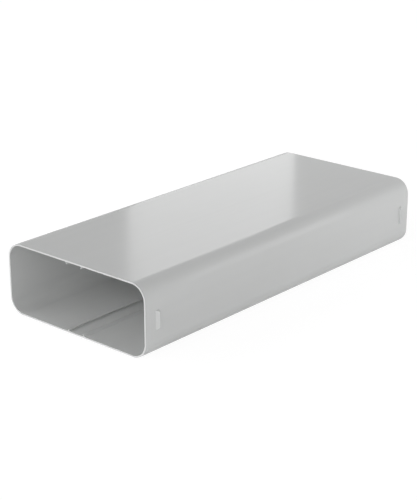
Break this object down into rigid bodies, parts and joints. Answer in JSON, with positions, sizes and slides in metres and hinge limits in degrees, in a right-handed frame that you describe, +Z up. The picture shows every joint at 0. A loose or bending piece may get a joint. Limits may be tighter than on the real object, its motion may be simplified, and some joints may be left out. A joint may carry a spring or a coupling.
{
  "type": "flat channel duct",
  "caption": "Straight length of thin-walled flat rectangular ventilation duct with rounded corners, open ends, inner dovetail ribs and small snap lugs on its narrow sides.",
  "frame": {"origin": "centre of the flat underside, on the surface that the duct lies on", "axes": "+X across the duct's wide flat, +Y along the air path, +Z up through the duct's height"},
  "size_m": [0.223, 0.5, 0.087],
  "materials": {
    "duct_plastic": "satin moulded plastic, pale neutral grey"
  },
  "bodies": {
    "root": {"duct": "duct_plastic"}
  },
  "joints": []
}
